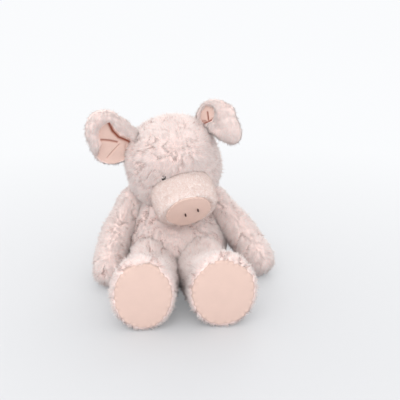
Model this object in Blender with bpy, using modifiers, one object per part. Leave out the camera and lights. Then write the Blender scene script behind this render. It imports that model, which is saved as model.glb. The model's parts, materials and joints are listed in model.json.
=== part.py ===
"""A seated plush pig: covers, stuffing, suede soles, snout, ears, eyes and tail.

The pig sits on a flat surface at z = 0 and faces -Y, with its left side at +X.
Each limb turns on a round root that sits in a cup of the body, the head turns on
the round top of the body, and each ear folds along its root seam.
"""

import math

import bmesh
import bpy
from mathutils import Euler, Matrix, Vector

# Fits and cloth
SEAM_GAP = 0.0003
JOINT_GAP = 0.0008
PLUSH = 0.0040
SHORT_PLUSH = 0.0030
FLOOR_SINK = 0.0005
OVERRUN = 0.0100
MERGE = 0.00001

# Body
BODY_HALF_WIDTH = 0.0680
BODY_HALF_DEPTH = 0.0740
BELLY_FORWARD = 0.0160
NECK_HEIGHT = 0.1060
NECK_RADIUS = 0.0400
NECK_WAD_RADIUS = 0.0150
NECK_WAD_DEPTH = 0.0120
POUCH_HALF_WIDTH = 0.0340
POUCH_HALF_DEPTH = 0.0230
POUCH_HEIGHT = 0.0230
POUCH_Y = 0.0060

# Head
HEAD_HALF_WIDTH = 0.0630
HEAD_HALF_DEPTH = 0.0570
HEAD_HALF_HEIGHT = 0.0550
HEAD_FORWARD = 0.0110
HEAD_RISE = 0.0410
HEAD_TURN = 4.0
HEAD_ROLL = -14.0
HEAD_BOW = 10.0
NOD_LIMITS = (-5.0, 18.0)
NECK_CLEARANCE = 0.0032

# Muzzle, on the head
MUZZLE_HALF_WIDTH = 0.0410
MUZZLE_HALF_HEIGHT = 0.0295
MUZZLE_LENGTH = 0.0450
MUZZLE_SUNK = 0.0120
MUZZLE_FORWARD = 0.0480
MUZZLE_DROP = 0.0140
MUZZLE_BOW = 13.0
DISC_HALF_WIDTH = 0.0310
DISC_HALF_HEIGHT = 0.0250
DISC_RISE = 0.0012
NOSTRIL_SPACING = 0.0168
NOSTRIL_DROP = 0.0050
STITCH_LENGTH = 0.0050
STITCH_WIDTH = 0.0018

# Eyes, on the head
EYE_RADIUS = 0.0045
EYE_RISE = 0.0030
EYE_SEAT = 0.0010
EYE_SIDE_ANGLE = 18.5
EYE_LIFT_ANGLE = 10.0
EYE_STEM_RADIUS = 0.0015
EYE_STEM_LENGTH = 0.0090
WASHER_RADIUS = 0.0060
WASHER_THICKNESS = 0.0014

# Arms
SHOULDER_OUT = 0.0120
SHOULDER_DROP = 0.0220
SHOULDER_RADIUS = 0.0230
ARM_RADIUS = 0.0225
PAW_RADIUS = 0.0225
ARM_LENGTH = 0.1280
ARM_BOW = 0.0060
ARM_OPENING = 0.0100
SHOULDER_WAD_RADIUS = 0.0080
SHOULDER_WAD_LENGTH = 0.0110
ARM_DROOP = {"left": 35.0, "right": 34.5}
ARM_SPREAD = {"left": 42.0, "right": 24.0}
SWING_LIMITS = (0.0, 50.0)
SPREAD_LIMIT = {"left": 30.0, "right": 40.0}
ARMPIT_REACH = 0.0600
ARMPIT_STEPS = 4

# Legs
HIP_SIDE = 0.0320
HIP_FORWARD = 0.0720
HIP_HEIGHT = 0.0330
HIP_RADIUS = 0.0305
LEG_RADIUS = 0.0320
LEG_LENGTH = 0.1270
FOOT_SIDE = 0.0455
FOOT_HALF_WIDTH = 0.0405
FOOT_HALF_HEIGHT = 0.0475
SOLE_HALF_WIDTH = 0.0365
SOLE_HALF_HEIGHT = 0.0435
SOLE_RISE = 0.0020
LEG_STEPS = (-18.0, 0.0, 10.0, 20.0)

# Ears
EAR_LENGTH = 0.0640
EAR_UPPER_WIDTH = 0.0520
EAR_LOWER_WIDTH = 0.0330
EAR_ROOT_HALF = 0.0200
EAR_PLUSH = 0.0045
EAR_LINING = 0.0012
EAR_ROLL = 0.0220
EAR_SUNK = 0.0020
EAR_GROOVE = {"left": 0.0058, "right": 0.0053}

# Tail
TAIL_HEIGHT = 0.0420
TAIL_RADIUS = 0.0038
TAIL_SUNK = 0.0020
TAIL_CURL_RADIUS = 0.0085
TAIL_CURL_REACH = 0.0160
TAIL_STRAIGHT = 0.0080

FLOOR_SIZE = 0.8000
EMPTY_SIZE = 0.0200

# Counts
BODY_SIDES = 10
FORM_SIDES = 8
CORE_SIDES = 6
BALL_SIDES = 18
ROD_SIDES = 16
EYE_SIDES = 12
EYE_STEPS = 4
PLATE_SIDES = 8
STITCH_SIDES = 5
NECK_WAD_STEPS = 3
CURL_STEPS = 24
FIRMING_ROUNDS = 4
EAR_ROWS = 8
EAR_COLUMNS = 12
TAIL_POINTS = 13
SIDES = {"left": 1.0, "right": -1.0}

# Outlines as shares of the sizes above
BODY_SHARES = (
    (0.00, 0.52, 0.80),
    (0.035, 0.80, 0.90),
    (0.18, 0.975, 1.00),
    (0.38, 1.00, 1.00),
    (0.58, 0.855, 0.80),
    (0.80, 0.715, 0.20),
)
NECK_ANGLES = (10.0, 48.0, 90.0)
HEAD_SHARES = (
    (1.0, 0.0),
    (0.90, 0.62),
    (0.52, 0.92),
    (0.0, 1.0),
    (-0.50, 0.98),
    (-0.88, 0.72),
    (-1.0, 0.0),
)
MUZZLE_SHARES = ((0.0, 0.90), (0.20, 0.99), (0.70, 1.0), (0.95, 0.91), (1.0, 0.72))
ROOT_ANGLES = (90.0, 45.0, 0.0)
ARM_SHARES = ((0.16, 0.97, 0.4), (0.38, 1.0, 1.0), (0.62, 0.98, 0.8))
PAW_ANGLES = (0.0, 50.0)
LEG_SHARES = ((0.22, 0.0), (0.48, 0.10), (0.66, 0.45), (0.80, 0.86), (0.90, 1.0))
RIM_SHARES = ((0.97, 0.985), (1.0, 0.91), (1.0, 0.60))
PLATE_SHARES = (
    (0.55, 1.0, 0.0),
    (0.95, 1.0, 0.0),
    (1.0, 0.5, 0.0),
    (0.95, 0.0, 0.0),
    (0.55, 0.0, 0.75),
)
POUCH_SHARES = ((1.0, 0.0), (0.92, 0.55), (0.6, 0.92), (0.25, 1.0), (0.0, 0.75), (0.0, 0.0))
STITCH_ANGLES = (90.0, 40.0, -40.0, -90.0)
POUCH_WIDEST_SHARE = 0.30
EAR_FULL_SHARE = 0.55
EAR_TIP_SHARE = 0.80
EAR_FADE_SHARE = 0.25
TAIL_OPEN_SHARE = 0.40
TAIL_TAPER_SHARE = 0.40
TAIL_TURNS = 1.3

# Each ear's root on the head, how the ear is turned there, and how it rolls and bends
EARS = {
    "left": {
        "root_angle": 26.0,
        "turn": (0.0, -20.0, -34.0),
        "upper_curl": 150.0,
        "flap_share": 0.20,
        "lower_curl": 20.0,
        "tip_bend": 30.0,
        "bend_from": 0.5,
    },
    "right": {
        "root_angle": 36.0,
        "turn": (0.0, 36.0, 0.0),
        "upper_curl": 160.0,
        "flap_share": 0.05,
        "lower_curl": 20.0,
        "tip_bend": 50.0,
        "bend_from": 0.45,
    },
}

COLOURS = {
    "plush": (0.86, 0.74, 0.72),
    "short_plush": (0.88, 0.79, 0.76),
    "suede": (0.83, 0.66, 0.58),
    "ear_suede": (0.82, 0.58, 0.48),
    "stuffing": (0.90, 0.90, 0.88),
    "pouch": (0.78, 0.76, 0.72),
    "thread": (0.06, 0.03, 0.02),
    "eye": (0.01, 0.01, 0.01),
    "washer": (0.80, 0.80, 0.78),
}
ROUGHNESS = {"eye": 0.15, "washer": 0.4}


def clear_scene():
    for old in list(bpy.data.objects):
        bpy.data.objects.remove(old)


def collection(name):
    made = bpy.data.collections.new(name)
    bpy.context.scene.collection.children.link(made)
    return made


def material(name):
    """One material for each finish, shared by the pieces that have it."""
    made = bpy.data.materials.get(name)
    if made is None:
        made = bpy.data.materials.new(name)
        made.use_nodes = True
        shader = made.node_tree.nodes["Principled BSDF"]
        shader.inputs["Base Color"].default_value = (*COLOURS[name], 1.0)
        shader.inputs["Roughness"].default_value = ROUGHNESS.get(name, 0.9)
        shader.inputs["Metallic"].default_value = 0.0
    return made


def frame(name, location, turn=(0.0, 0.0, 0.0), parent=None):
    """An empty on a joint axis or at a local frame, turned in degrees about X, Y and Z."""
    made = bpy.data.objects.new(name, None)
    made.location = location
    made.rotation_euler = Euler([math.radians(angle) for angle in turn])
    made.parent = parent
    made.empty_display_size = EMPTY_SIZE
    bpy.data.collections["plush_pig"].objects.link(made)
    return made


def place(name, mesh, parent, finish=None):
    """An object under an empty. Without a finish it is a cutter or a probe."""
    made = bpy.data.objects.new(name, mesh)
    made.parent = parent
    if finish is None:
        made.hide_render = True
        made.display_type = "WIRE"
        bpy.data.collections["cutters"].objects.link(made)
    else:
        mesh.materials.append(material(finish))
        mesh.shade_smooth()
        bpy.data.collections["plush_pig"].objects.link(made)
    return made


def finished_mesh(name, work, at=(0.0, 0.0, 0.0)):
    bmesh.ops.translate(work, verts=work.verts, vec=at)
    bmesh.ops.recalc_face_normals(work, faces=work.faces)
    mesh = bpy.data.meshes.new(name)
    work.to_mesh(mesh)
    work.free()
    return mesh


def soften(target):
    smooth = target.modifiers.new("soften", "SUBSURF")
    smooth.levels = 1
    smooth.render_levels = 1
    return target


def firmed(rings):
    """Rings (x, y, z, half width, half depth) that smoothing brings back to the given ones."""
    wanted = [Vector((*centre, half_width, half_depth)) for centre, half_width, half_depth in rings]
    made = list(wanted)
    for _ in range(FIRMING_ROUNDS):
        for i in range(1, len(made) - 1):
            smoothed = (made[i - 1] + 6 * made[i] + made[i + 1]) / 8
            made[i] = made[i] + wanted[i] - smoothed
    return made


def form(name, rings, sides, parent, finish=None, at=(0.0, 0.0, 0.0)):
    """A soft form: a sphere whose circles of latitude are laid on the given rings.

    Each ring is (centre, half width, half depth), from the first pole to the last.
    Subdivision draws a ring in, so each is first made fuller by that amount.
    """
    work = bmesh.new()
    last = len(rings) - 1
    bmesh.ops.create_uvsphere(work, u_segments=sides, v_segments=last, radius=1.0)
    fuller = 4.0 / (3.0 + math.cos(math.tau / sides))
    full_rings = firmed(rings)
    for vertex in work.verts:
        latitude = math.acos(max(-1.0, min(1.0, vertex.co.z)))
        x, y, z, half_width, half_depth = full_rings[round(latitude / math.pi * last)]
        round_way = Vector((vertex.co.x, vertex.co.y, 0.0))
        if round_way.length > 0:
            round_way.normalize()
        round_way.x *= half_width * fuller
        round_way.y *= half_depth * fuller
        vertex.co = Vector((x, y, z)) + round_way
    return soften(place(name, finished_mesh(name, work, at), parent, finish))


def surface_towards(rings, sides, way):
    """Where a line from a form's middle meets its surface, and which way it faces there."""
    probe = form("probe", rings, sides, None)
    bpy.context.view_layer.update()
    seen = probe.evaluated_get(bpy.context.evaluated_depsgraph_get())
    _, spot, outward, _ = seen.ray_cast((0, 0, 0), way)
    bpy.data.objects.remove(probe)
    return spot.copy(), outward.copy()


def cut(target, *cutters):
    for cutter in cutters:
        boolean = target.modifiers.new(cutter.name, "BOOLEAN")
        boolean.operation = "DIFFERENCE"
        boolean.object = cutter
    return target


def ball(name, radius, parent):
    """A round cutter whose flats lie outside the radius."""
    work = bmesh.new()
    around = radius / math.cos(math.pi / BALL_SIDES) ** 2
    bmesh.ops.create_uvsphere(work, u_segments=BALL_SIDES, v_segments=BALL_SIDES // 2, radius=around)
    return place(name, finished_mesh(name, work), parent)


def rod(name, radius, low, high, parent, finish=None, sides=ROD_SIDES):
    """A cylinder along the parent's Z axis, from low to high."""
    work = bmesh.new()
    bmesh.ops.create_cone(
        work, cap_ends=True, segments=sides, radius1=radius, radius2=radius, depth=high - low
    )
    return place(name, finished_mesh(name, work, (0.0, 0.0, (low + high) / 2)), parent, finish)


def turned(name, profile, parent, finish=None, steps=ROD_SIDES):
    """A profile of (radius, height), top to bottom down its outer side, turned round Z.

    A profile off the axis is a ring's, and is closed from its last point to its first.
    """
    mesh = bpy.data.meshes.new(name)
    points = [(radius, 0.0, height) for radius, height in profile]
    edges = [(i, i + 1) for i in range(len(points) - 1)]
    if profile[-1][0] > 0:
        edges.append((len(points) - 1, 0))
    mesh.from_pydata(points, edges, [])
    made = place(name, mesh, parent, finish)
    screw = made.modifiers.new("turn", "SCREW")
    screw.steps = steps
    screw.render_steps = steps
    screw.use_merge_vertices = True
    screw.merge_threshold = MERGE
    return made


def oval_plate(name, half_width, half_height, thickness, rise, parent, finish=None, grow=0.0):
    """A thin oval pad in the parent's XY plane, whose front bulges to -Z by the rise."""
    rings = [(Vector((0, 0, thickness + grow)), 0, 0)]
    for width_share, thickness_share, rise_share in PLATE_SHARES:
        height = thickness * thickness_share - rise * rise_share
        height += grow if thickness_share > 0 else -grow
        half_x = half_width * width_share + grow
        rings.append((Vector((0, 0, height)), half_x, half_height * width_share + grow))
    rings.append((Vector((0, 0, -rise - grow)), 0, 0))
    return form(name, rings, PLATE_SIDES, parent, finish)


def body_rings(inset):
    """The pear of the body, from the round top that the head turns on down to the seat."""
    bottom = inset - FLOOR_SINK
    radius = NECK_RADIUS - inset
    rings = []
    for angle in reversed(NECK_ANGLES):
        slope = math.radians(angle)
        centre = Vector((0, 0, NECK_HEIGHT + radius * math.sin(slope)))
        rings.append((centre, radius * math.cos(slope), radius * math.cos(slope)))
    for height_share, width_share, forward_share in reversed(BODY_SHARES):
        forward = BELLY_FORWARD * forward_share
        centre = Vector((0, -forward, max(NECK_HEIGHT * height_share, bottom)))
        if height_share == 0:
            centre.z = bottom
        half_width = BODY_HALF_WIDTH * width_share - inset
        half_depth = BODY_HALF_DEPTH * width_share - inset
        rings.append((centre, half_width, half_depth))
    rings.append((Vector((0, -forward, bottom)), 0, 0))
    return rings


def head_rings(inset):
    rings = []
    for height_share, width_share in HEAD_SHARES:
        height = (HEAD_HALF_HEIGHT - inset) * height_share
        half_width = (HEAD_HALF_WIDTH - inset) * width_share
        half_depth = (HEAD_HALF_DEPTH - inset) * width_share
        rings.append((Vector((0, 0, height)), half_width, half_depth))
    return rings


def muzzle_rings(inset):
    """The muzzle runs along its own -Z, from inside the head to the front."""
    front = inset - MUZZLE_LENGTH
    rings = [(Vector((0, 0, MUZZLE_SUNK)), 0, 0)]
    for length_share, width_share in MUZZLE_SHARES:
        height = max(MUZZLE_SUNK - (MUZZLE_SUNK + MUZZLE_LENGTH) * length_share, front)
        half_width = MUZZLE_HALF_WIDTH * width_share - inset
        half_height = MUZZLE_HALF_HEIGHT * width_share - inset
        rings.append((Vector((0, 0, height)), half_width, half_height))
    rings.append((Vector((0, 0, front)), 0, 0))
    return rings


def root_rings(radius):
    """The round root of a limb about the origin, down to its equator."""
    rings = []
    for angle in ROOT_ANGLES:
        slope = math.radians(angle)
        centre = Vector((0, 0, radius * math.sin(slope)))
        rings.append((centre, radius * math.cos(slope), radius * math.cos(slope)))
    return rings


def arm_rings(inset, side):
    """Down -Z from the shoulder, bowed outwards, to the round paw."""
    rings = root_rings(SHOULDER_RADIUS - inset)
    for length_share, width_share, bow_share in ARM_SHARES:
        half = ARM_RADIUS * width_share - inset
        centre = Vector((side * ARM_BOW * bow_share, 0, -ARM_LENGTH * length_share))
        rings.append((centre, half, half))
    for angle in PAW_ANGLES:
        slope = math.radians(angle)
        reach = ARM_LENGTH - PAW_RADIUS + (PAW_RADIUS - inset) * math.sin(slope)
        half = (PAW_RADIUS - inset) * math.cos(slope)
        rings.append((Vector((0, 0, -reach)), half, half))
    rings.append((Vector((0, 0, inset - ARM_LENGTH)), 0, 0))
    return rings


def leg_rings(inset, side):
    """Down -Z from the hip, widening into the foot; the leg's own -Y is up."""
    rings = root_rings(HIP_RADIUS - inset)
    leg_lift = LEG_RADIUS - FLOOR_SINK - HIP_HEIGHT
    foot_lift = FOOT_HALF_HEIGHT - FLOOR_SINK - HIP_HEIGHT
    outward = side * (FOOT_SIDE - HIP_SIDE)
    for length_share, foot_share in LEG_SHARES:
        half_width = LEG_RADIUS + (FOOT_HALF_WIDTH - LEG_RADIUS) * foot_share - inset
        half_height = LEG_RADIUS + (FOOT_HALF_HEIGHT - LEG_RADIUS) * foot_share - inset
        lift = leg_lift + (foot_lift - leg_lift) * foot_share
        centre = Vector((outward * foot_share, -lift, -LEG_LENGTH * length_share))
        rings.append((centre, half_width, half_height))
    for length_share, rim_share in RIM_SHARES:
        reach = min(LEG_LENGTH * length_share, LEG_LENGTH - inset)
        half_width = FOOT_HALF_WIDTH * rim_share - inset
        half_height = FOOT_HALF_HEIGHT * rim_share - inset
        rings.append((Vector((outward, -foot_lift, -reach)), half_width, half_height))
    rings.append((Vector((outward, -foot_lift, inset - LEG_LENGTH)), 0, 0))
    return rings


def body_clearances(name, pivot, turns, kept_radius):
    """Copies of the body, turned about a limb's pivot as the limb's joints turn it.

    A limb that is cut by all of them clears the body over those turns. The round
    root within kept_radius sits in its own cup, so it is kept.
    """
    made = []
    for number, angles in enumerate(turns):
        step_name = f"{name}_{number}"
        turn = frame(step_name, pivot.location, angles)
        shape = form(step_name, body_rings(-JOINT_GAP), BODY_SIDES, turn, at=-pivot.location)
        cut(shape, ball(f"{step_name}_root", kept_radius, turn))
        made.append(shape)
    return made


def body(root):
    """Cover, stuffing, pellet pouch and the flat under them; each limb then cuts its own cup."""
    skin = form("body_skin", body_rings(0), BODY_SIDES, root, "plush")
    hollow = form("body_hollow", body_rings(PLUSH), FORM_SIDES, root)
    stuffing = form("body_stuffing", body_rings(PLUSH + SEAM_GAP), FORM_SIDES, root, "stuffing")
    below = bmesh.new()
    bmesh.ops.create_cube(below, size=FLOOR_SIZE)
    floor = place("floor", finished_mesh("floor", below, (0, 0, -FLOOR_SIZE / 2)), root)
    cut(skin, hollow, floor)
    form("seat_pellet_pouch", pouch_rings(0, 0), CORE_SIDES, root, "pouch")
    cut(stuffing, form("pouch_pocket", pouch_rings(SEAM_GAP, OVERRUN), CORE_SIDES, root))
    return skin, stuffing, floor


def pouch_rings(grow, deeper):
    """The pellet pouch lies on the seat's cover; deeper opens its pocket downwards."""
    low = PLUSH + SEAM_GAP
    rings = []
    for height_share, width_share in POUCH_SHARES:
        centre = Vector((0, POUCH_Y, low + POUCH_HEIGHT * height_share + grow))
        if height_share == 0:
            centre.z -= deeper
        if deeper and 0 < height_share < POUCH_WIDEST_SHARE:
            width_share = 1.0
        grown = grow if width_share > 0 else 0
        half_width = POUCH_HALF_WIDTH * width_share + grown
        rings.append((centre, half_width, POUCH_HALF_DEPTH * width_share + grown))
    return rings


def neck(skin, stuffing):
    """The wad of stuffing in the neck, which turns in the body under the head."""
    turn = frame("neck_turn", (0, 0, NECK_HEIGHT))
    edge = math.asin(NECK_WAD_RADIUS / NECK_RADIUS)
    profile = []
    for step in range(NECK_WAD_STEPS + 1):
        angle = edge * step / NECK_WAD_STEPS
        profile.append((NECK_RADIUS * math.sin(angle), NECK_RADIUS * math.cos(angle)))
    profile += [(NECK_WAD_RADIUS, -NECK_WAD_DEPTH), (0, -NECK_WAD_DEPTH)]
    turned("neck_wad", profile, turn, "stuffing")
    bore_radius = NECK_WAD_RADIUS / math.cos(math.pi / ROD_SIDES) + SEAM_GAP
    depth = NECK_WAD_DEPTH + SEAM_GAP
    bore = rod("neck_bore", bore_radius, -depth, NECK_RADIUS + OVERRUN, turn)
    cut(skin, bore)
    cut(stuffing, bore)
    return turn


def neck_skirt(name, nod, angle):
    """A flat ring that clears the body and both shoulders at every turn of the head."""
    inner = NECK_RADIUS / 2
    outer = NECK_RADIUS + SHOULDER_OUT + SHOULDER_RADIUS + NECK_CLEARANCE
    low = -NECK_RADIUS
    profile = [(inner, NECK_CLEARANCE), (outer, NECK_CLEARANCE), (outer, low), (inner, low)]
    return turned(name, profile, frame(f"{name}_turn", (0, 0, 0), (angle, 0, 0), nod))


def head(neck_turn):
    """Cover and stuffing, with a cup for the body's round top and room to turn and nod."""
    nod = frame("head_nod", neck_turn.location, (0.0, 0.0, HEAD_TURN))
    face = frame("face", (0, -HEAD_FORWARD, NECK_HEIGHT + HEAD_RISE), (HEAD_BOW, HEAD_ROLL, HEAD_TURN))
    skin = form("head_skin", head_rings(0), BODY_SIDES, face, "plush")
    hollow = form("head_hollow", head_rings(PLUSH), FORM_SIDES, face)
    stuffing = form("head_stuffing", head_rings(PLUSH + 2 * SEAM_GAP), FORM_SIDES, face, "stuffing")
    cup = ball("neck_cup", NECK_RADIUS + JOINT_GAP, neck_turn)
    clearances = [neck_skirt(f"neck_skirt_{angle:.0f}", nod, angle) for angle in NOD_LIMITS]
    cut(skin, *clearances, cup, hollow)
    cut(stuffing, *clearances, cup)
    return face, skin, stuffing, clearances


def muzzle(face, clearances):
    """The muzzle's cover and stuffing, the suede disc and the two nostril stitches."""
    tube = frame("muzzle", (0, -MUZZLE_FORWARD, -MUZZLE_DROP), (MUZZLE_BOW - 90, 0, 0), face)
    skin = form("muzzle_skin", muzzle_rings(0), BODY_SIDES, tube, "short_plush")
    hollow = form("muzzle_hollow", muzzle_rings(SHORT_PLUSH), FORM_SIDES, tube)
    stuffing_rings = muzzle_rings(SHORT_PLUSH + 2 * SEAM_GAP)
    stuffing = form("muzzle_stuffing", stuffing_rings, FORM_SIDES, tube, "stuffing")
    behind = form("head_behind_muzzle", head_rings(-SEAM_GAP), BODY_SIDES, face)
    front = frame("muzzle_front", (0, 0, -MUZZLE_LENGTH), parent=tube)
    size = (DISC_HALF_WIDTH, DISC_HALF_HEIGHT, SHORT_PLUSH, DISC_RISE)
    disc = oval_plate("snout_disc", *size, front, "suede")
    disc_seat = oval_plate("disc_seat", *size, front, grow=SEAM_GAP)
    cut(skin, *clearances, behind, disc_seat, hollow)
    cut(stuffing, behind, *clearances)
    for name, side in SIDES.items():
        place_at = (side * NOSTRIL_SPACING / 2, NOSTRIL_DROP, -DISC_RISE)
        nostril = frame(f"nostril_{name}", place_at, parent=front)
        form(f"nostril_stitch_{name}", stitch_rings(0), STITCH_SIDES, nostril, "thread")
        cut(disc, form(f"stitch_hole_{name}", stitch_rings(SEAM_GAP), STITCH_SIDES, nostril))
    return skin, stuffing


def stitch_rings(grow):
    """A short satin stitch: half in the suede and half standing on it."""
    half = STITCH_WIDTH / 2 + grow
    long_half = STITCH_LENGTH / 2 + grow
    rings = []
    for angle in STITCH_ANGLES:
        slope = math.radians(angle)
        centre = Vector((0, 0, half * math.sin(slope)))
        rings.append((centre, half * math.cos(slope), long_half * math.cos(slope)))
    return rings


def eyes(face, head_skin, head_stuffing, muzzle_pieces):
    """Safety eyes: a dome outside, its stem through the cover, a washer behind it."""
    for name, side in SIDES.items():
        across = math.radians(EYE_SIDE_ANGLE) * side
        up = math.radians(EYE_LIFT_ANGLE)
        way = Vector((math.sin(across) * math.cos(up), -math.cos(across) * math.cos(up), math.sin(up)))
        spot, outward = surface_towards(head_rings(0), BODY_SIDES, way)
        socket = frame(f"eye_socket_{name}", spot, parent=face)
        socket.rotation_euler = outward.to_track_quat("Z", "Y").to_euler()
        base = -EYE_SEAT
        profile = []
        for step in range(EYE_STEPS + 1):
            slope = math.pi / 2 * (1 - step / EYE_STEPS)
            rise = base + (EYE_RISE + EYE_SEAT) * math.sin(slope)
            profile.append((EYE_RADIUS * math.cos(slope) if step else 0.0, rise))
        profile += [(EYE_STEM_RADIUS, base), (EYE_STEM_RADIUS, -EYE_STEM_LENGTH), (0, -EYE_STEM_LENGTH)]
        turned(f"eye_{name}", profile, socket, "eye", EYE_SIDES)
        hole = EYE_STEM_RADIUS / math.cos(math.pi / EYE_SIDES) + SEAM_GAP
        top = -PLUSH - WASHER_THICKNESS
        low = top - WASHER_THICKNESS
        ring = [(hole, top), (WASHER_RADIUS, top), (WASHER_RADIUS, low), (hole, low)]
        turned(f"eye_washer_{name}", ring, socket, "washer", EYE_SIDES)
        seat = rod(f"eye_seat_{name}", EYE_RADIUS + SEAM_GAP, base - SEAM_GAP, OVERRUN, socket)
        stem_way = rod(f"eye_hole_{name}", hole, -OVERRUN, OVERRUN, socket, sides=EYE_SIDES)
        around = WASHER_RADIUS + SEAM_GAP
        pocket_low = -EYE_STEM_LENGTH - SEAM_GAP
        pocket = rod(f"washer_pocket_{name}", around, pocket_low, top + SEAM_GAP, socket)
        cut(head_skin, seat, stem_way, pocket)
        cut(head_stuffing, rod(f"stuffing_pocket_{name}", around, pocket_low, 0, socket))
        for piece in muzzle_pieces:
            cut(piece, seat, stem_way)


def shoulder(name, side, skin, stuffing, floor):
    """An arm on its shoulder wad: the wad swings in the body, the arm spreads on the wad."""
    pivot_x = side * (NECK_RADIUS + SHOULDER_OUT)
    pivot = frame(f"shoulder_{name}", (pivot_x, 0, NECK_HEIGHT - SHOULDER_DROP))
    cup_radius = SHOULDER_RADIUS + JOINT_GAP
    cup = ball(f"shoulder_cup_{name}", cup_radius, pivot)
    axis = frame(f"shoulder_axis_{name}", pivot.location, (0, side * 90, 0))
    depth = cup_radius + SHOULDER_WAD_LENGTH
    wad = rod(f"shoulder_wad_{name}", SHOULDER_WAD_RADIUS, -depth, -SHOULDER_WAD_LENGTH, axis, "stuffing")
    cut(wad, cup)
    bore_radius = SHOULDER_WAD_RADIUS + SEAM_GAP
    bore = rod(f"shoulder_bore_{name}", bore_radius, -depth - SEAM_GAP, 0, axis)
    cut(skin, cup)
    cut(stuffing, cup, bore)

    turn = (ARM_DROOP[name] - 90, 0, side * ARM_SPREAD[name])
    arm = frame(f"arm_{name}", pivot.location, turn)
    cover = form(f"arm_{name}_skin", arm_rings(0, side), FORM_SIDES, arm, "plush")
    hollow = form(f"arm_{name}_hollow", arm_rings(PLUSH, side), CORE_SIDES, arm)
    inside = form(
        f"arm_{name}_stuffing", arm_rings(PLUSH + SEAM_GAP, side), CORE_SIDES, arm, "stuffing"
    )
    opening = rod(f"arm_{name}_opening", ARM_OPENING, 0, SHOULDER_RADIUS + OVERRUN, arm)
    turns = [(swing, 0, 0) for swing in SWING_LIMITS]
    clearances = body_clearances(f"arm_{name}_clearance", pivot, turns, SHOULDER_RADIUS)
    for step in range(1, ARMPIT_STEPS + 1):
        share = step / ARMPIT_STEPS
        swung = frame(f"swung_{name}_{step}", pivot.location, (-SWING_LIMITS[1] * share, 0, 0))
        spread = side * (ARM_SPREAD[name] + SPREAD_LIMIT[name] * share)
        for motion, base, turn_z in (("swing", swung, turn[2]), ("spread", pivot, spread)):
            armpit_name = f"armpit_{name}_{motion}_{step}"
            way = frame(armpit_name, (0, 0, 0), (turn[0], 0, turn_z), base)
            cut(skin, rod(armpit_name, ARM_RADIUS + JOINT_GAP, -ARMPIT_REACH, 0, way))
    hip_at = (side * HIP_SIDE, -HIP_FORWARD, HIP_HEIGHT)
    for number, angle in enumerate(LEG_STEPS):
        leg_name = f"arm_{name}_leg_{number}"
        leg = frame(leg_name, hip_at, (-angle - 90, 0, 0))
        clearances.append(form(leg_name, leg_rings(-JOINT_GAP, side), FORM_SIDES, leg))
    cut(cover, hollow, opening, floor, *clearances)
    cut(inside, *clearances)


def hip(name, side, skin, stuffing, floor):
    """A leg that swings on its round root, and the suede sole on its foot."""
    pivot = frame(f"hip_{name}", (side * HIP_SIDE, -HIP_FORWARD, HIP_HEIGHT))
    cup = ball(f"hip_cup_{name}", HIP_RADIUS + JOINT_GAP, pivot)
    cut(skin, cup)
    cut(stuffing, cup)
    leg = frame(f"leg_{name}", pivot.location, (-90, 0, 0))
    cover = form(f"leg_{name}_skin", leg_rings(0, side), FORM_SIDES, leg, "plush")
    hollow = form(f"leg_{name}_hollow", leg_rings(PLUSH, side), CORE_SIDES, leg)
    inside = form(
        f"leg_{name}_stuffing", leg_rings(PLUSH + 2 * SEAM_GAP, side), CORE_SIDES, leg, "stuffing"
    )
    turns = [(swing, 0, 0) for swing in LEG_STEPS]
    clearances = body_clearances(f"leg_{name}_clearance", pivot, turns, HIP_RADIUS)
    foot_lift = FOOT_HALF_HEIGHT - FLOOR_SINK - HIP_HEIGHT
    middle = (side * (FOOT_SIDE - HIP_SIDE), -foot_lift, -LEG_LENGTH)
    foot = frame(f"foot_{name}", middle, parent=leg)
    size = (SOLE_HALF_WIDTH, SOLE_HALF_HEIGHT, PLUSH, SOLE_RISE)
    oval_plate(f"sole_{name}", *size, foot, "suede")
    seat = oval_plate(f"sole_seat_{name}", *size, foot, grow=SEAM_GAP)
    cut(cover, hollow, seat, floor, *clearances)
    cut(inside, *clearances)


def ease(share):
    share = max(0.0, min(1.0, share))
    return share * share * (3 - 2 * share)


def along(length, turn_at):
    """Where a strip of this length ends, when it turns by turn_at(distance) as it goes."""
    forward = 0.0
    rise = 0.0
    for step in range(CURL_STEPS):
        angle = turn_at(length * (step + 0.5) / CURL_STEPS)
        forward += math.cos(angle) * length / CURL_STEPS
        rise += math.sin(angle) * length / CURL_STEPS
    return forward, rise


def ear_point(shape, length_share, width_share):
    """A point of the ear's front, in the ear's frame: X along the root, Y out, Z to the front.

    The middle line bends to the front towards the tip. From it the upper edge rolls
    over to the front by upper_curl, and the lower edge by lower_curl.
    """
    def bend(distance):
        start = shape["bend_from"]
        return math.radians(shape["tip_bend"]) * ease((distance / EAR_LENGTH - start) / (1 - start))

    reach, lift = along(EAR_LENGTH * length_share, bend)
    lean = bend(EAR_LENGTH * length_share)
    swell = ease(length_share / EAR_FULL_SHARE)
    past = max(0.0, (length_share - EAR_FULL_SHARE) / (1 - EAR_FULL_SHARE))
    round_off = math.sqrt(max(0.0, 1 - EAR_TIP_SHARE * past**2))
    upper = width_share > 0
    widest = EAR_UPPER_WIDTH if upper else EAR_LOWER_WIDTH
    width = (EAR_ROOT_HALF + (widest - EAR_ROOT_HALF) * swell) * round_off
    curl = math.radians(shape["upper_curl"] if upper else shape["lower_curl"])
    curl *= ease(length_share / EAR_FADE_SHARE)
    flat = widest - EAR_ROLL - shape["flap_share"] * widest if upper else widest / 2

    def roll(distance):
        return curl * ease((distance - flat) / EAR_ROLL)

    across, front = along(abs(width_share) * width, roll)
    across = math.copysign(across, width_share)
    return Vector((across, reach - front * math.sin(lean), lift + front * math.cos(lean)))


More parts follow.
